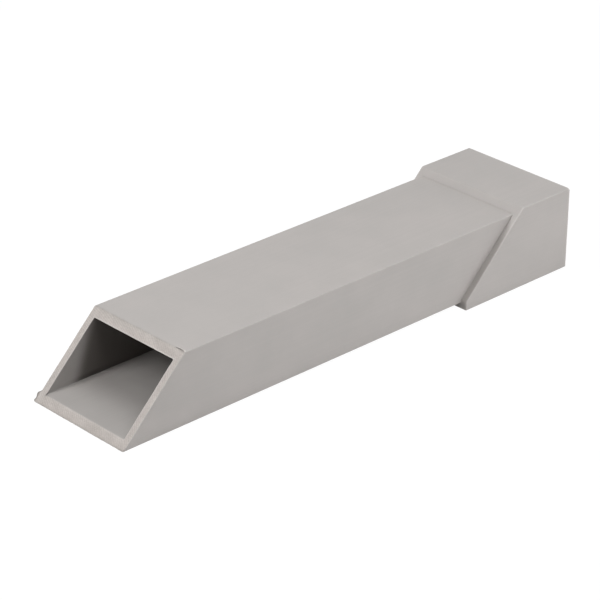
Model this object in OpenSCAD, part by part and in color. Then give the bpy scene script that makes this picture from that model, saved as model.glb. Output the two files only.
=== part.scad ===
// Scupper extension: a length of rectangular rigid PVC duct, all in one piece, which carries rainwater
// on through a parapet wall. The outlet end is mitred, and the other end is a socket with a mitred seat,
// so that the duct of an outlet or of another extension, cut at the same angle, pushes in and seats flat.
// X runs across the duct, Y along it from the outlet to the socket, and Z is up.
// The origin is at the centre of the socket's mouth.

/* [Duct] */
// Outside width of the duct
duct_w = 102; // [80:1:160]
// Outside height of the duct
duct_h = 60; // [40:1:100]
// Thickness of the duct's walls
duct_wall = 6; // [3:0.5:9]
// Length of the duct's underside, from the outlet's toe to the socket
duct_l = 352.5; // [120:0.5:900]
// Rounding of the duct's long outer edges
duct_edge_r = 0.8; // [0.2:0.1:2]
// Rounding of the waterway's long corners
bore_corner_r = 0.5; // [0.2:0.1:2]

/* [Mitre] */
// Angle by which the outlet's cut and the shoulder lean back from upright
mitre_deg = 45; // [15:1:60]

/* [Socket] */
// Thickness of the socket's walls
socket_wall = 5; // [3:0.5:8]
// Clearance on each side between the socket's bore and the duct that is pushed in
fit_gap = 0.5; // [0.2:0.1:1]
// Depth of the socket's bore along its top, where it is shallowest
socket_depth = 53; // [30:0.5:120]
// Thickness of the shoulder between the duct and the socket, square to its slope
shoulder_t = 6; // [3:0.5:10]
// Height above the duct's underside up to which the shoulder's sharp toe is cut off upright
toe_cut_h = 2.5; // [0.5:0.5:8]
// Rounding of the socket's long outer edges
socket_edge_r = 0.8; // [0.2:0.1:2.5]
// Rounding of the long corners of the socket's bore
seat_corner_r = 0.5; // [0.2:0.1:1.2]
// Width of the lead-in chamfer round the socket's mouth
lead_in = 1; // [0.5:0.1:2]

/* [Hidden] */
$fn = 48;
// Past every face that a cut goes through
over = 1;
// Set back of a mitred face for each millimetre of height
lean = tan(mitre_deg);
// Outside and bore of the socket
bore_w = duct_w + 2 * fit_gap;
bore_h = duct_h + 2 * fit_gap;
socket_w = bore_w + 2 * socket_wall;
socket_h = bore_h + 2 * socket_wall;
// Waterway
water_w = duct_w - 2 * duct_wall;
water_h = duct_h - 2 * duct_wall;
// Shoulder's thickness along the duct
shoulder_y = shoulder_t / cos(mitre_deg);
// Length of the socket's underside, from its blunt toe to its mouth
toe_top_z = -duct_h / 2 + toe_cut_h;
socket_l = socket_depth + shoulder_y + (bore_h / 2 - toe_top_z) * lean;
// Outlet's toe, at the duct's underside
outlet_toe_y = -socket_l - duct_l;

// Where the shoulder's outer face, its inner seat and the outlet's cut are along the duct, at height z
function shoulder_at(z) = -socket_l + (z - toe_top_z) * lean;
function seat_at(z) = shoulder_at(z) + shoulder_y;
function outlet_at(z) = outlet_toe_y + (z + duct_h / 2) * lean;

// Rectangle with rounded corners, centred on the duct's axis
module section(w, h, r) {
    square([w - 2 * r, h], center = true);
    square([w, h - 2 * r], center = true);
    for (sx = [-1, 1], sz = [-1, 1])
        translate([sx * (w / 2 - r), sz * (h / 2 - r)]) circle(r = r);
}

// A section carried along the duct from y0 to y1
module along(y0, y1) {
    translate([0, y1, 0]) rotate([90, 0, 0]) linear_extrude(height = y1 - y0) children();
}

// A side view, given as [along, up] points, carried across the duct
module across(w, points) {
    rotate([90, 0, 90]) linear_extrude(height = w, center = true) polygon(points);
}

// Duct's outside: the section trimmed by the outlet's mitre, running on into the shoulder
module duct_outside() {
    z1 = duct_h / 2 + over;
    intersection() {
        along(outlet_toe_y, seat_at(duct_h / 2)) section(duct_w, duct_h, duct_edge_r);
        across(duct_w + 2 * over, [
            [outlet_at(-z1), -z1], [outlet_at(z1), z1], [seat_at(z1), z1], [seat_at(-z1), -z1]
        ]);
    }
}

// Socket's outside: its front slopes as the outlet does, with the toe below the duct cut off upright
module socket_outside() {
    z1 = socket_h / 2 + over;
    intersection() {
        along(-socket_l, 0) section(socket_w, socket_h, socket_edge_r);
        across(socket_w + 2 * over, [
            [-socket_l - over, -z1], [-socket_l - over, toe_top_z - over / lean],
            [shoulder_at(z1), z1], [over, z1], [over, -z1]
        ]);
    }
}

// Socket's bore: from the sloping seat to the mouth
module socket_bore() {
    z1 = bore_h / 2 + over;
    intersection() {
        along(-socket_l, over) section(bore_w, bore_h, seat_corner_r);
        across(bore_w + 2 * over, [
            [seat_at(-z1), -z1], [seat_at(z1), z1], [2 * over, z1], [2 * over, -z1]
        ]);
    }
}

// Lead-in round the mouth: two wedges, one seen from the side and one from above, where they cross
module mouth_chamfer() {
    w1 = bore_w / 2 + lead_in + over;
    h1 = bore_h / 2 + lead_in + over;
    intersection() {
        across(bore_w + 4 * over + 4 * lead_in, [
            [-lead_in, -bore_h / 2], [-lead_in, bore_h / 2], [over, h1], [over, -h1]
        ]);
        translate([0, 0, -h1]) linear_extrude(height = 2 * h1)
            polygon([[-bore_w / 2, -lead_in], [bore_w / 2, -lead_in], [w1, over], [-w1, over]]);
    }
}

// Waterway: runs straight through from the outlet to the socket
module waterway() {
    along(outlet_toe_y - over, over) section(water_w, water_h, bore_corner_r);
}

module extension() {
    color([0.72, 0.7, 0.685])
        difference() {
            union() {
                duct_outside();
                socket_outside();
            }
            waterway();
            socket_bore();
            mouth_chamfer();
        }
}

extension();
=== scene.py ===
"""Scupper extension: a grey rigid PVC duct with a sawn, mitred outlet and a stepped socket."""
import math

import bpy
import numpy as np
from mathutils import Matrix, Vector


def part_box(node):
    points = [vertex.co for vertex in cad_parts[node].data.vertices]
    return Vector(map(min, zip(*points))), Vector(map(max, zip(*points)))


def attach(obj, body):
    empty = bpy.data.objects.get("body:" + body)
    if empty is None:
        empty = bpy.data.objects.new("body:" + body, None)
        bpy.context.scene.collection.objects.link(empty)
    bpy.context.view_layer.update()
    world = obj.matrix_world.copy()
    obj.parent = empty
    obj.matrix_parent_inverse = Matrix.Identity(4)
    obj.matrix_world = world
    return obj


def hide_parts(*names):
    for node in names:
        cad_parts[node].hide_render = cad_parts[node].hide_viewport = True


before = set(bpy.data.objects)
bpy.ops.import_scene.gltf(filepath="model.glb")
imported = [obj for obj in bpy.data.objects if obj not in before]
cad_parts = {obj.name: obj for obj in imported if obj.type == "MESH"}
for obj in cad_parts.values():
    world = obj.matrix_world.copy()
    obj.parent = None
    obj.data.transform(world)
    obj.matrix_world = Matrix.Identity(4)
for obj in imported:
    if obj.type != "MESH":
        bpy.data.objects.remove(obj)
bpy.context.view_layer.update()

# Camera. A long lens on a tripod, in front of the outlet's right corner and looking down on the duct.
# The place, the point that it looks at and the slight roll are fitted to the photo's outline.
VIEW_AZIMUTH, VIEW_ELEVATION, VIEW_ROLL = math.radians(46.4189), math.radians(26.8143), 0.00798
VIEW_DISTANCE = 2.03438
VIEW_AIM = Vector((-0.004625, -0.244924, -0.005543))
LENS_MM, SENSOR_MM = 156.395, 36.0

camera = bpy.data.objects.new("camera", bpy.data.cameras.new("camera"))
camera.data.lens, camera.data.sensor_width = LENS_MM, SENSOR_MM
away = Vector((math.sin(VIEW_AZIMUTH) * math.cos(VIEW_ELEVATION),
               -math.cos(VIEW_AZIMUTH) * math.cos(VIEW_ELEVATION),
               math.sin(VIEW_ELEVATION)))
turn = (-away).to_track_quat("-Z", "Y").to_matrix().to_4x4() @ Matrix.Rotation(VIEW_ROLL, 4, "Z")
camera.matrix_world = Matrix.Translation(VIEW_AIM + VIEW_DISTANCE * away) @ turn
bpy.context.scene.collection.objects.link(camera)
bpy.context.scene.camera = camera


# Studio light. Soft boxes overhead, high on the right, low behind it on the right, where one brightens the
# socket's side, to the left of the outlet and in front. The room is white to the eye and gives little light.
ROOM_LIGHT = 0.02
SOFT_BOXES = {
    # name: (place, point aimed at, side of the square, watts)
    "overhead": ((0.0, -0.25, 1.7), (0.0, -0.25, 0.0), 1.4, 10.4),
    "upper right": ((1.2, -0.3, 1.3), (0.0, -0.25, 0.0), 1.0, 7.3),
    "right back": ((1.0, 0.6, 0.5), (0.0, -0.05, 0.0), 0.8, 7.3),
    "left front": ((-0.32, -1.6, 1.4), (0.0, -0.3, 0.0), 0.5, 14.2),
    "front": ((0.0, -2.2, 1.1), (0.0, -0.4, 0.0), 0.9, 9.1),
}


def add(tree, kind, inputs=(), **settings):
    """Adds a shader node. settings are its own; inputs gives each socket a value or a node's output."""
    made = tree.nodes.new("ShaderNode" + kind)
    for name, value in settings.items():
        setattr(made, name, value)
    for socket, value in dict(inputs).items():
        if isinstance(value, bpy.types.NodeSocket):
            tree.links.new(value, made.inputs[socket])
        else:
            made.inputs[socket].default_value = value
    return made


def seen_directly(tree):
    """1 for what the camera sees, straight, in a gloss or through a clear thing, and 0 for the light that
    falls on surfaces: the greatest of three ray marks."""
    path = add(tree, "LightPath")
    direct = add(tree, "Math", {0: path.outputs["Is Camera Ray"], 1: path.outputs["Is Glossy Ray"]},
                 operation="MAXIMUM")
    return add(tree, "Math", {0: direct.outputs[0], 1: path.outputs["Is Transmission Ray"]},
               operation="MAXIMUM").outputs[0]


room = bpy.data.worlds.new("white studio")
bpy.context.scene.world = room
room.use_nodes = True
room.node_tree.nodes.clear()
lit = add(room.node_tree, "Background", {"Color": (1, 1, 1, 1), "Strength": ROOM_LIGHT})
white = add(room.node_tree, "Background", {"Color": (1, 1, 1, 1), "Strength": 1.0})
both = add(room.node_tree, "MixShader", {0: seen_directly(room.node_tree), 1: lit.outputs[0],
                                         2: white.outputs[0]})
add(room.node_tree, "OutputWorld", {"Surface": both.outputs[0]})
bpy.context.scene.view_settings.view_transform = "Standard"

for name, (place, aimed_at, side, watts) in SOFT_BOXES.items():
    lamp = bpy.data.objects.new(name, bpy.data.lights.new(name, "AREA"))
    lamp.data.size, lamp.data.energy = side, watts
    lamp.location = place
    lamp.rotation_euler = (Vector(aimed_at) - Vector(place)).to_track_quat("-Z", "Y").to_euler()
    bpy.context.scene.collection.objects.link(lamp)


# The extension. One tube of rigid PVC with 6 mm walls, its outlet sawn off at 45 degrees and its socket
# 5.5 mm larger all round, behind a shoulder that slopes as the outlet does. Every arris is slightly
# rounded, sharper where the saw has been, and one corner of the socket's mouth is knocked.
MM = 0.001
DUCT, WATERWAY = (51.0 * MM, 30.0 * MM), (45.0 * MM, 24.0 * MM)
SOCKET, BORE = (56.5 * MM, 35.5 * MM), (51.5 * MM, 30.5 * MM)
LEAD_IN = 1.0 * MM
OUTER_CORNER, WATER_CORNER, BORE_CORNER = 0.8 * MM, 0.9 * MM, 0.5 * MM
LEAN = math.tan(math.radians(45))
SOCKET_LENGTH = 119.4853 * MM
TOE_TOP = -27.5 * MM
SHOULDER_ALONG = 8.4853 * MM
OUTLET_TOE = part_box("extension")[0][1]
SAW_WANDER = 0.1 * MM
EDGE_CELLS = (0.25 * MM, 0.7 * MM, 1.5 * MM)
ACROSS_CELLS, UP_CELLS, QUARTER_POINTS = 30, 16, 7


def graded(start, end, cells):
    """Places from start to end, without either: close together near both ends and even between them."""
    near = np.array(EDGE_CELLS) * np.sign(end - start)
    even = np.linspace(start + near[-1], end - near[-1], cells + 1)[1:-1]
    return np.concatenate([start + near, even, (end - near)[::-1]])


def section(half, corner, low_row=None):
    """Rounded rectangle seen from the outlet, as x and z: four straight sides with graded points and four
    quarter circles. low_row is the height of the lowest row of points on the upright sides."""
    (a, b), r = half, corner
    across = graded(-(a - r), a - r, ACROSS_CELLS)
    floor_row = -(b - r) + EDGE_CELLS[0] if low_row is None else low_row
    up = np.concatenate([[floor_row], graded(floor_row, b - r, UP_CELLS)])
    turn = np.linspace(0, math.pi / 2, QUARTER_POINTS)
    quarter = r * np.stack([np.sin(turn), -np.cos(turn)])
    x = np.concatenate([across, a - r + quarter[0], np.full(up.size, a), a - r - quarter[1],
                        -across, -(a - r) - quarter[0], np.full(up.size, -a), -(a - r) + quarter[1]])
    z = np.concatenate([np.full(across.size, -b), -(b - r) + quarter[1], up, b - r + quarter[0],
                        np.full(across.size, b), b - r - quarter[1], up[::-1], -(b - r) - quarter[0]])
    return x, z


def at(outline, along):
    """A section's points, each as far along the duct as along says for its height."""
    x, z = outline
    return np.stack([x, along(z) + 0 * z, z], axis=1)


def outlet_cut(z):
    """The mitre lies back by LEAN for each metre of height, and the saw wandered off it in a slow sine."""
    return OUTLET_TOE + (z + DUCT[1]) * LEAN + SAW_WANDER * np.sin(260 * z + 1.0)


def shoulder(z):
    """The shoulder slopes as the mitre does, and its toe is cut off upright."""
    return -SOCKET_LENGTH + np.maximum(z - TOE_TOP, 0) * LEAN


def seat(z):
    """The seat inside the socket lies behind the shoulder, parallel to it."""
    return -SOCKET_LENGTH + (z - TOE_TOP) * LEAN + SHOULDER_ALONG


duct_out = section(DUCT, OUTER_CORNER, TOE_TOP)
socket_out = section(SOCKET, OUTER_CORNER, TOE_TOP)
duct_in = section(WATERWAY, WATER_CORNER)
socket_in = section(BORE, BORE_CORNER)
mouth_in = section((BORE[0] + LEAD_IN, BORE[1] + LEAD_IN), BORE_CORNER)


def uneven(place):
    """Smooth unevenness between -1 and 1 along a length in metres: three sines of 7, 3 and 1.3 mm."""
    return 0.5 * np.sin(900 * place + 1.0) + 0.3 * np.sin(2100 * place + 2.0) + 0.2 * np.sin(4800 * place)


def ramp(value, start, end):
    """0 up to start, 1 from end on, and straight between them."""
    return np.clip((value - start) / (end - start), 0, 1)


# The saw leaves the outlet's outer edge ragged, most of all the feather edge along the toe.
toe_edge = ramp(-duct_out[1], 0.875 * DUCT[1], DUCT[1])
ragged = (0.30 + 0.12 * uneven(duct_out[0] + duct_out[1])) * MM
ragged += toe_edge * (0.35 + 0.3 * uneven(duct_out[0])) * MM

# The arris of the shoulder carries a painted highlight at the sides, strongest near its top, and hardly any
# on top. The inner edge of the cut carries a painted highlight, strongest at its top and weaker at its left.
at_side = np.abs(socket_out[0]) > SOCKET[0] - 0.3 * MM
up_side = ramp(socket_out[1], TOE_TOP, TOE_TOP + 62 * MM)
highlit_arris = np.where(at_side, 0.14 + 0.44 * up_side ** 6, 0.05)
highlit_rim = 0.62 + 0.38 * np.clip(duct_in[1] / WATERWAY[1], -1, 1)
highlit_rim = highlit_rim * np.where(duct_in[0] < -44 * MM, 0.6, 1.0)

# A trace of grime lies along the top of the outlet's outer edge. Painted shade darkens the corner at the
# shoulder's foot and a thin line along the toe. The waterway's lower left corner is stained most of all.
on_top = ramp(duct_out[1], DUCT[1] - 0.3 * MM, DUCT[1])
patchy = uneven(duct_out[0] * 0.3)
edge_soil_and_shade = on_top * np.clip(0.14 + 0.14 * patchy, 0, 1) + toe_edge * (0.32 + 0.16 * patchy)
painted_foot_shade = np.where(on_top > 0.5, 0.11 + 0.04 * patchy, 0.1)
from_corner = np.linalg.norm(np.stack(duct_in, axis=1) + WATERWAY, axis=1)
stained_corner = 0.9 * np.exp(-(from_corner / (1.6 * MM)) ** 2)

# Corner rings round the wall, from the outlet's outer edge along the outside and back through the waterway:
# (points, rounding, how much wear and painted highlight it has, how much grime and painted shade it has,
# cells to the next ring, finish up to the next ring)
SKIN, SAWN, INSIDE = 0, 1, 2
RINGS = [
    (at(duct_out, outlet_cut), ragged[:, None], 0.3 * (1 - on_top) * (1 - toe_edge), edge_soil_and_shade, 116, SKIN),
    (at(duct_out, shoulder), 0.25 * MM, 0.0, painted_foot_shade, 4, SKIN),
    (at(socket_out, shoulder), 0.62 * MM, highlit_arris, 0.0, 26, SKIN),
    (at(socket_out, lambda z: 0.0), 0.50 * MM, 0.5, 0.0, 4, SKIN),
    (at(mouth_in, lambda z: 0.0), 0.20 * MM, 0.5, 0.0, 1, SKIN),
    (at(socket_in, lambda z: -LEAD_IN), 0.20 * MM, 0.3, 0.0, 26, INSIDE),
    (at(socket_in, seat), 0.25 * MM, 0.0, 0.2, 4, INSIDE),
    (at(duct_in, seat), 0.40 * MM, 0.3, 0.0, 130, INSIDE),
    (at(duct_in, outlet_cut), 0.30 * MM, highlit_rim, stained_corner, 6, SAWN),
]
ROUNDING_STEPS = 4
# How far the wear and painted highlight of an edge reach over the faces beside it, and how far its grime and
# painted shade
WEAR_AND_LIGHT_WIDTHS = np.array([[1.6 * MM], [2.2 * MM]])


def unit(v):
    """Each vector at length 1."""
    return v / np.linalg.norm(v, axis=-1, keepdims=True)


stations, worn_and_lit, finish = [], [], []
for k, (ring, rounding, rub_and_highlight, soil_and_shade, cells, material) in enumerate(RINGS):
    before, after = RINGS[k - 1][0], RINGS[(k + 1) % len(RINGS)][0]
    next_rounding, next_rub_and_highlight, next_soil_and_shade = RINGS[(k + 1) % len(RINGS)][1:4]
    back, ahead = unit(before - ring), unit(after - ring)
    wear_and_light = np.stack([rub_and_highlight + 0 * ring[:, 0], soil_and_shade + 0 * ring[:, 0]])
    next_wear_and_light = np.stack([next_rub_and_highlight + 0 * ring[:, 0], next_soil_and_shade + 0 * ring[:, 0]])
    # A rounded edge: a parabola from one face to the other, with the sharp corner as its control point.
    for t in np.linspace(0, 1, ROUNDING_STEPS + 1):
        stations.append(ring + rounding * ((1 - t) ** 2 * back + t ** 2 * ahead))
        worn_and_lit.append(wear_and_light)
        finish.append(RINGS[k - 1][5] if t < 0.5 else material)
    # The face between two edges: straight lines from point to point, with short cells beside the edges.
    first, last = ring + rounding * ahead, after - next_rounding * ahead
    span = np.linalg.norm(last - first, axis=1).mean()
    shortest = np.linalg.norm(last - first, axis=1).min()
    near = np.array(EDGE_CELLS if shortest > 8 * MM else EDGE_CELLS[:1])
    near = near[near < shortest / 3]
    fractions = np.linspace(0, 1, cells + 1)[1:-1]
    fractions = fractions[np.minimum(fractions, 1 - fractions) * span > near.max(initial=0)]
    places = [first + ahead * d for d in near]
    places += [first + (last - first) * f for f in fractions]
    places += [last - ahead * d for d in near[::-1]]
    stations += places
    finish += [material] * len(places)
    # The wear and painted highlight, and the grime and painted shade, of each edge fade out over the face,
    # with the square of what is left of its width.
    for d in np.concatenate([near, fractions * span, span - near[::-1]]):
        left, next_left = np.clip(1 - d / WEAR_AND_LIGHT_WIDTHS, 0, 1), np.clip(1 - (span - d) / WEAR_AND_LIGHT_WIDTHS, 0, 1)
        worn_and_lit.append(wear_and_light * left ** 2 + next_wear_and_light * next_left ** 2)

points = np.array(stations)
count, around = points.shape[:2]

# The knocked corner of the socket's mouth: what stands past a slanting plane is pressed back to it.
KNOCKED_CORNER, KNOCK_DEPTH = (SOCKET[0], 0.0, SOCKET[1]), 1.15 * MM
knock = unit(np.array([0.62, 0.42, 0.66]))
past = np.maximum((points - KNOCKED_CORNER) @ knock + KNOCK_DEPTH, 0)
points = points - past[..., None] * knock

# The inside is painted dark where it lies in shade. Its walls carry a painted pool of light up to some 43 mm
# behind the toe, less far low down, and painted light again far inside. Painted light pales the floor, least
# some 51 mm behind the toe, and more beside the walls some 72 mm behind it.
DIMMEST_AT, WALL_LIGHT_AT = 51 * MM, 72 * MM
x, y, z = np.moveaxis(points, 2, 0)
behind_toe = y - OUTLET_TOE
on_floor = ramp(-z, 23.3 * MM, 23.8 * MM)
painted_light_pool = 1 - ramp(behind_toe - 0.3 * z, 36 * MM, 50 * MM)
painted_light_on_walls = np.maximum(3 * painted_light_pool ** 2 - 2 * painted_light_pool ** 3, ramp(behind_toe, 160 * MM, 250 * MM))
to_mouth = behind_toe < DIMMEST_AT
dimmest = 0.62 + 0.14 * ramp(x, -30 * MM, 10 * MM)
brightest = np.where(to_mouth, 1.0, 0.94)
phase = np.clip((behind_toe - DIMMEST_AT) / np.where(to_mouth, 78 * MM, 36 * MM), -0.5, 1.5)
painted_light_on_floor = dimmest + (brightest - dimmest) * (1 - np.cos(2 * math.pi * phase)) / 2
painted_light_by_walls = ramp(np.abs(x), 34 * MM, 43 * MM) * (1 - ramp(np.abs(behind_toe - WALL_LIGHT_AT), 0, 32 * MM))
painted_light_inside = on_floor * np.maximum(painted_light_on_floor, painted_light_by_walls) + (1 - on_floor) * painted_light_on_walls

# Above the floor, painted shade runs along the foot of the walls, darkest 50 mm behind the toe. Beside the
# walls the floor carries a paler painted light.
inside = (np.abs(x) < WATERWAY[0] + 0.1 * MM) & (np.abs(z) < WATERWAY[1] + 0.1 * MM)
painted_wall_foot_shade = ramp(-z, 18.5 * MM, 21.5 * MM) * (1 - on_floor) * inside * ramp(behind_toe, 22 * MM, 40 * MM)
rubbed_and_highlit, soiled_and_shaded = np.moveaxis(np.array(worn_and_lit), 1, 0)
soiled_and_shaded = soiled_and_shaded + painted_wall_foot_shade * (0.25 + 0.5 * np.exp(-((behind_toe - 50 * MM) / (9 * MM)) ** 2))
rubbed_and_highlit = rubbed_and_highlit + 0.9 * painted_light_by_walls * on_floor * inside

# Outside, the duct's sides carry a little painted shade towards the toe. The cut is most chalked at its
# lower left.
at_sides = ramp(np.abs(x), DUCT[0] - 0.6 * MM, DUCT[0] - 0.1 * MM)
soiled_and_shaded = soiled_and_shaded + 0.13 * at_sides * (1 - ramp(behind_toe, 10 * MM, 100 * MM))
on_cut_left = (np.array(finish) == SAWN)[:, None] * ramp(-x, WATERWAY[0] - 0.5 * MM, WATERWAY[0] + 0.5 * MM)
rubbed_and_highlit = rubbed_and_highlit + 0.16 * on_cut_left * ramp(-z, -10 * MM, 10 * MM)

# Painted shade lies on the shoulder's slope beside the duct, up to some 20 mm above its middle, and most
# under it.
STEP_SHADE = 5.2 * MM
past_duct = np.maximum(np.abs(x) - DUCT[0], -z - DUCT[1])
on_slope = ramp(np.minimum(past_duct, STEP_SHADE - past_duct), 0, 0.8 * MM) * (y < shoulder(z) + 0.1 * MM)
how_shaded = np.where(z < TOE_TOP - 0.5 * MM, 0.5, 0.18)
soiled_and_shaded = soiled_and_shaded + on_slope * ramp(-z, -26 * MM, -14 * MM) * how_shaded

row, column = np.meshgrid(np.arange(count), np.arange(around), indexing="ij")
here, next_row = row * around + column, (row + 1) % count * around + column
shift = (column + 1) % around - column
faces = np.stack([here, next_row, next_row + shift, here + shift], axis=-1).reshape(-1, 4)

extension = bpy.data.objects.new("extension_body", bpy.data.meshes.new("extension_body"))
extension.data.from_pydata(points.reshape(-1, 3), [], faces.tolist())
extension.data.polygons.foreach_set("use_smooth", np.ones(len(faces), bool))
extension.data.polygons.foreach_set("material_index", np.repeat(finish, around).astype(np.int32))
for name, amount in (("rubbed_and_highlit", rubbed_and_highlit), ("soiled_and_shaded", soiled_and_shaded), ("painted_light_inside", painted_light_inside)):
    traces = extension.data.attributes.new(name, "FLOAT", "POINT")
    traces.data.foreach_set("value", amount.ravel().astype(np.float32))
extension.data.update()
bpy.context.scene.collection.objects.link(extension)


# The colour of grime, which also gives the painted shade in corners and under edges.
SOIL_AND_SHADE_COLOUR = "#6E6964"


def linear(hexa):
    """An sRGB hex colour as linear red, green and blue, and an alpha of 1."""
    s = np.array([int(hexa[i:i + 2], 16) for i in (1, 3, 5)]) / 255
    return (*np.where(s <= 0.04045, s / 12.92, ((s + 0.055) / 1.055) ** 2.4), 1.0)


def extruded_pvc(name, dark, pale, soil_and_shade_colour, roughness, shade_tone=None):
    """Rigid PVC as it leaves the die: an even, warm grey with a low satin sheen. The die leaves faint lines
    along the duct, the cooled skin a fine orange peel, and handling rubs the arrises a little paler, to
    which painted highlights are added. dirt is the colour of its soiling and of painted shade, and roughness
    the range of its sheen. Where bare is given, dark and pale are the tones where painted light falls, and
    bare is the painted shade where it does not."""
    finish = bpy.data.materials.new(name)
    finish.use_nodes = True
    tree = finish.node_tree
    tree.nodes.clear()
    place = add(tree, "TexCoord").outputs["Object"]
    # Die lines are 1 to 2 mm apart and run unbroken for some 400 mm.
    drawn = add(tree, "Mapping", {"Vector": place, "Scale": (600, 2.5, 600)})
    lines = add(tree, "TexNoise", {"Vector": drawn.outputs[0], "Scale": 1.0, "Detail": 2.0})
    # Clouding from the melt, 40 mm across.
    clouds = add(tree, "TexNoise", {"Vector": place, "Scale": 25.0, "Detail": 3.0, "Roughness": 0.55})
    # Orange peel is 0.3 mm across, and is drawn at 0.9 mm to show.
    peel = add(tree, "TexNoise", {"Vector": place, "Scale": 1100.0, "Detail": 1.0})
    tone = add(tree, "Math", {0: lines.outputs["Fac"], 1: 0.4, 2: clouds.outputs["Fac"]},
               operation="MULTIPLY_ADD")
    tone = add(tree, "MapRange", {"Value": tone.outputs[0], "From Min": 0.45, "From Max": 0.95})
    body = add(tree, "Mix", {"Factor": tone.outputs[0], "A": linear(dark), "B": linear(pale)},
               data_type="RGBA")
    # Inside, the mix between the bare tone and the body is painted light and shade.
    if shade_tone:
        painted_light = add(tree, "Attribute", attribute_name="painted_light_inside")
        body = add(tree, "Mix", {"Factor": painted_light.outputs["Fac"], "A": linear(shade_tone),
                                 "B": body.outputs["Result"]}, data_type="RGBA")
    soil_and_shade = add(tree, "Attribute", attribute_name="soiled_and_shaded")
    body = add(tree, "Mix", {"Factor": soil_and_shade.outputs["Fac"], "A": body.outputs["Result"], "B": linear(soil_and_shade_colour)},
               data_type="RGBA")
    wear_and_light = add(tree, "Attribute", attribute_name="rubbed_and_highlit")
    colour = add(tree, "Mix", {"Factor": wear_and_light.outputs["Fac"], "A": body.outputs["Result"],
                               "B": linear("#CCC6C3")}, data_type="RGBA")
    sheen = add(tree, "MapRange", {"Value": clouds.outputs["Fac"], "To Min": roughness[0],
                                   "To Max": roughness[1]})
    relief = add(tree, "Bump", {"Height": lines.outputs["Fac"], "Distance": 0.00005, "Strength": 0.3})
    relief = add(tree, "Bump", {"Height": peel.outputs["Fac"], "Distance": 0.00003, "Strength": 0.5,
                                "Normal": relief.outputs[0]})
    surface = add(tree, "BsdfPrincipled", {"Base Color": colour.outputs["Result"], "IOR": 1.53,
                                           "Roughness": sheen.outputs[0], "Normal": relief.outputs[0]})
    add(tree, "OutputMaterial", {"Surface": surface.outputs[0]})
    return finish


def sawn_pvc():
    """The same PVC where the saw went through: chalky, a shade paler and warmer, without sheen, and scored
    by the blade's teeth in shallow arcs across the wall."""
    finish = bpy.data.materials.new("sawn rigid PVC, chalky")
    finish.use_nodes = True
    tree = finish.node_tree
    tree.nodes.clear()
    place = add(tree, "TexCoord").outputs["Object"]
    # The cut is turned flat and centred on the spindle of a 300 mm blade, 170 mm up and to the left.
    flat = add(tree, "Mapping", {"Vector": place, "Location": (0.09, 0.44, 0.0),
                                 "Rotation": (-math.radians(45), 0, 0)})
    # Tooth marks are 0.5 mm apart, and are drawn at 1.6 mm to show.
    marks = add(tree, "TexWave", {"Vector": flat.outputs[0], "Scale": 196.0, "Distortion": 1.5,
                                  "Detail": 2.0, "Detail Scale": 0.6},
                wave_type="RINGS", rings_direction="Z")
    # Chalking in grains of 0.2 mm, drawn at 1 mm.
    chalk = add(tree, "TexNoise", {"Vector": place, "Scale": 1000.0, "Detail": 2.0})
    smears = add(tree, "TexNoise", {"Vector": place, "Scale": 90.0, "Detail": 3.0})
    tone = add(tree, "Math", {0: marks.outputs["Fac"], 1: 0.25, 2: smears.outputs["Fac"]},
               operation="MULTIPLY_ADD")
    tone = add(tree, "Math", {0: chalk.outputs["Fac"], 1: 1.2, 2: tone.outputs[0]}, operation="MULTIPLY_ADD")
    tone = add(tree, "MapRange", {"Value": tone.outputs[0], "From Min": 0.8, "From Max": 1.65})
    body = add(tree, "Mix", {"Factor": tone.outputs[0], "A": linear("#A69F9A"), "B": linear("#C4BDB8")},
               data_type="RGBA")
    # Grime and painted shade darken it, and wear and painted highlights pale it, as the mesh's attributes
    # give.
    soil_and_shade = add(tree, "Attribute", attribute_name="soiled_and_shaded")
    body = add(tree, "Mix", {"Factor": soil_and_shade.outputs["Fac"], "A": body.outputs["Result"],
                             "B": linear(SOIL_AND_SHADE_COLOUR)}, data_type="RGBA")
    wear_and_light = add(tree, "Attribute", attribute_name="rubbed_and_highlit")
    rub_and_highlight = add(tree, "Math", {0: wear_and_light.outputs["Fac"], 1: 0.5}, operation="MULTIPLY")
    colour = add(tree, "Mix", {"Factor": rub_and_highlight.outputs[0], "A": body.outputs["Result"],
                               "B": linear("#DEDAD7")}, data_type="RGBA")
    relief = add(tree, "Bump", {"Height": marks.outputs["Fac"], "Distance": 0.00012, "Strength": 0.5})
    relief = add(tree, "Bump", {"Height": chalk.outputs["Fac"], "Distance": 0.00008, "Strength": 0.6,
                                "Normal": relief.outputs[0]})
    surface = add(tree, "BsdfPrincipled", {"Base Color": colour.outputs["Result"], "Roughness": 0.78,
                                           "IOR": 1.53, "Normal": relief.outputs[0]})
    add(tree, "OutputMaterial", {"Surface": surface.outputs[0]})
    return finish


# The outside is smoothed by the cooling sizer. The inside, which touches nothing, stays duller and a little
# darker, and is painted darker still where it lies in shade.
PVC_SKIN = extruded_pvc("extruded rigid PVC, satin outside", dark="#AFABA8", pale="#B6B1AE",
                        soil_and_shade_colour=SOIL_AND_SHADE_COLOUR, roughness=(0.42, 0.54))
PVC_INSIDE = extruded_pvc("extruded rigid PVC, dull inside", dark="#A5A19E", pale="#ABA7A4",
                          soil_and_shade_colour="#3A3633", roughness=(0.62, 0.72), shade_tone="#605B57")
PVC_SAWN = sawn_pvc()
for pvc in (PVC_SKIN, PVC_SAWN, PVC_INSIDE):
    extension.data.materials.append(pvc)
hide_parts("extension")
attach(extension, "root")


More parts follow.
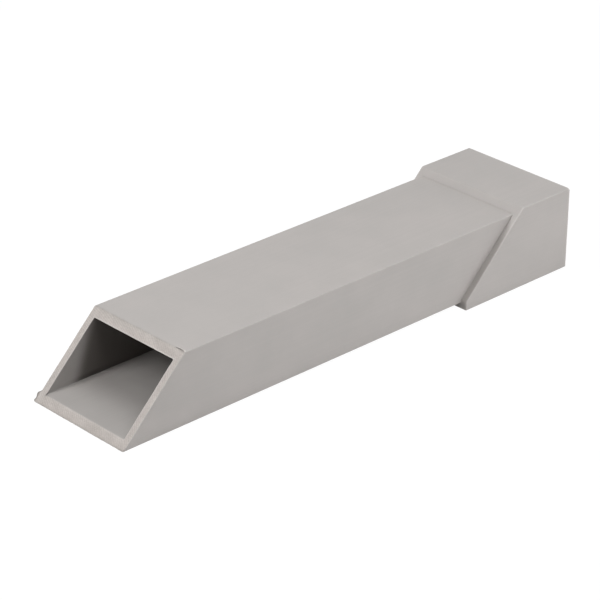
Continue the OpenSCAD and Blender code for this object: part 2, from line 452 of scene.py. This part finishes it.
# Saw rag. Where the blade left the wall, at the left end of the toe, a torn tongue of PVC still stands out
# to the side, flush with the cut and as high as the wall is thick. It is thick at its root and thin outside.
RAG_HEIGHTS = np.array([0.15, 0.45, 0.9, 1.4, 2.3, 3.4, 4.4, 5.4, 6.1, 6.8, 7.6]) * MM
RAG_REACH = np.array([0.0, 1.0, 1.6, 1.6, 1.2, 1.55, 2.3, 2.25, 1.6, 0.45, 0.0]) * MM
RAG_ROOT, RAG_THICKNESS, RAG_CURL = 0.9 * MM, 1.3 * MM, 0.35 * MM
RAG_STEPS = 18
CUT_OUTWARD = np.array([0.0, -math.sin(math.atan(LEAN)), math.cos(math.atan(LEAN))])


def tongue(heights, reach):
    """A flat tongue beside the cut, as a grid of heights by places round its section. The section is a
    flattened loop: it goes out along the rear and back along the front, thins towards the tip, and curls
    forward with the square of the distance from its root. Both ends of the grid lie in the wall."""
    loop = np.linspace(2 * math.pi, 0, RAG_STEPS, endpoint=False)
    out = (1 - np.cos(loop)) / 2
    z = -DUCT[1] + heights[:, None] + 0 * out
    x = -DUCT[0] + RAG_ROOT - (RAG_ROOT + reach[:, None]) * out
    half = RAG_THICKNESS / 2 * (1 - 0.7 * out) * np.clip((reach[:, None] + 0.3 * MM) / (1.2 * MM), 0.25, 1)
    proud = RAG_CURL * out ** 2 * reach[:, None] / reach.max() + half * np.sin(loop) - half
    flat = np.stack([x, outlet_cut(z), z], axis=-1)
    return flat + proud[..., None] * CUT_OUTWARD


def closed_strip(name, grid):
    """A grid whose rows are loops, as a mesh with both ends capped, faces outward, shaded smooth."""
    rows, steps = grid.shape[:2]
    row, step = np.meshgrid(np.arange(rows - 1), np.arange(steps), indexing="ij")
    ring, turned = row * steps, (step + 1) % steps
    sides = np.stack([ring + step, ring + turned, ring + steps + turned, ring + steps + step], axis=-1)
    caps = [list(range(steps))[::-1], list(range((rows - 1) * steps, rows * steps))]
    piece = bpy.data.objects.new(name, bpy.data.meshes.new(name))
    piece.data.from_pydata(grid.reshape(-1, 3), [], sides.reshape(-1, 4).tolist() + caps)
    piece.data.polygons.foreach_set("use_smooth", np.ones(len(piece.data.polygons), bool))
    piece.data.update()
    bpy.context.scene.collection.objects.link(piece)
    return piece


rag_z = np.linspace(RAG_HEIGHTS[0], RAG_HEIGHTS[-1], 44)
rag_out = np.interp(rag_z, RAG_HEIGHTS, RAG_REACH) + 0.08 * MM * uneven(rag_z * 1.7)
saw_rag = closed_strip("saw_rag", tongue(rag_z, np.maximum(rag_out, 0)))
# Its torn outer edge carries painted shade, with the square of the distance from the root.
outward = 0.5 - 0.5 * np.cos(np.linspace(0, 2 * math.pi, RAG_STEPS, endpoint=False))
shaded_edge = np.clip(1.4 * outward ** 2, 0, 1)
edge_shade = saw_rag.data.attributes.new("soiled_and_shaded", "FLOAT", "POINT")
edge_shade.data.foreach_set("value", np.tile(shaded_edge, len(rag_z)).astype(np.float32))
saw_rag.data.materials.append(PVC_SAWN)
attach(saw_rag, "root")


# Saw burr. At the right end of the cut's top edge, the blade has lifted a thin strip of the PVC's skin, some
# 10 mm long. It still holds behind and gapes like an eyelid over the cut. The whole strip is painted pale:
# torn PVC whitens, and a painted highlight lies on its lit lip.
BURR_FROM, BURR_TO = 40.8 * MM, 50.6 * MM
BURR_GAPE, BURR_THICKNESS, BURR_ROOT = 1.3 * MM, 0.9 * MM, 2.6 * MM


def eyelid(start, end, gape, thickness, root, steps=14):
    """A lifted strip along the cut's top edge, as a grid of places along it by places round its section. The
    section is a flattened loop that runs forward from its root, inside the wall, and up to its lifted lip.
    The gape swells from nothing at either end as a sine to the power 0.6, with some unevenness."""
    along = np.linspace(0, 1, 40)[:, None]
    loop = np.linspace(0, 2 * math.pi, steps, endpoint=False)
    forward = (1 - np.cos(loop)) / 2
    swell = np.sin(math.pi * along) ** 0.6 * (1 + 0.15 * uneven(along * 0.011))
    half = thickness / 2 * (0.3 + 0.7 * swell)
    rise = -0.4 * MM + forward * (0.4 * MM + gape * swell) + half * np.sin(loop) * (1 - 0.3 * forward)
    x = start + (end - start) * along + 0 * forward
    y = outlet_cut(DUCT[1]) + root * (1 - forward) + 0 * along
    return np.stack([x, y, DUCT[1] + rise], axis=-1)


saw_burr = closed_strip("saw_burr", eyelid(BURR_FROM, BURR_TO, BURR_GAPE, BURR_THICKNESS, BURR_ROOT))
whitened_and_highlit = saw_burr.data.attributes.new("rubbed_and_highlit", "FLOAT", "POINT")
whitened_and_highlit.data.foreach_set("value", np.full(len(saw_burr.data.vertices), 1.2, np.float32))
saw_burr.data.materials.append(PVC_SAWN)
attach(saw_burr, "root")


# Floor. A white table, on which the extension rests on the toe of its outlet and the toe of its socket.
# It is 5.5 mm lower at the socket, so it is laid at that slope. It shows white, and keeps a faint shadow:
# SHOWN is the share of plain white in what the camera sees, and GLOW makes up for the grey of the rest.
FLOOR_HALF = 2.0
SHOWN, GLOW = 0.94, 1.04
floor_slope = (SOCKET[1] - DUCT[1]) / (-SOCKET_LENGTH - OUTLET_TOE)
across, along = np.meshgrid(np.linspace(-FLOOR_HALF, FLOOR_HALF, 3), np.linspace(-FLOOR_HALF, FLOOR_HALF, 3))
drop = -DUCT[1] - floor_slope * (along - OUTLET_TOE)
floor = bpy.data.objects.new("table", bpy.data.meshes.new("table"))
corner = np.array([0, 1, 4, 3])
floor.data.from_pydata(np.stack([across, along, drop], axis=-1).reshape(-1, 3), [],
                       (corner + np.array([[0], [1], [3], [4]])).tolist())
bpy.context.scene.collection.objects.link(floor)
laminate = bpy.data.materials.new("white laminate")
laminate.use_nodes = True
laminate.node_tree.nodes.clear()
top = add(laminate.node_tree, "BsdfDiffuse", {"Color": linear("#F2F2F2")})
glow = add(laminate.node_tree, "Emission", {"Color": (1, 1, 1, 1), "Strength": GLOW})
share = add(laminate.node_tree, "Math", {0: seen_directly(laminate.node_tree), 1: SHOWN},
            operation="MULTIPLY")
table_top = add(laminate.node_tree, "MixShader", {0: share.outputs[0], 1: top.outputs[0],
                                                  2: glow.outputs[0]})
add(laminate.node_tree, "OutputMaterial", {"Surface": table_top.outputs[0]})
floor.data.materials.append(laminate)
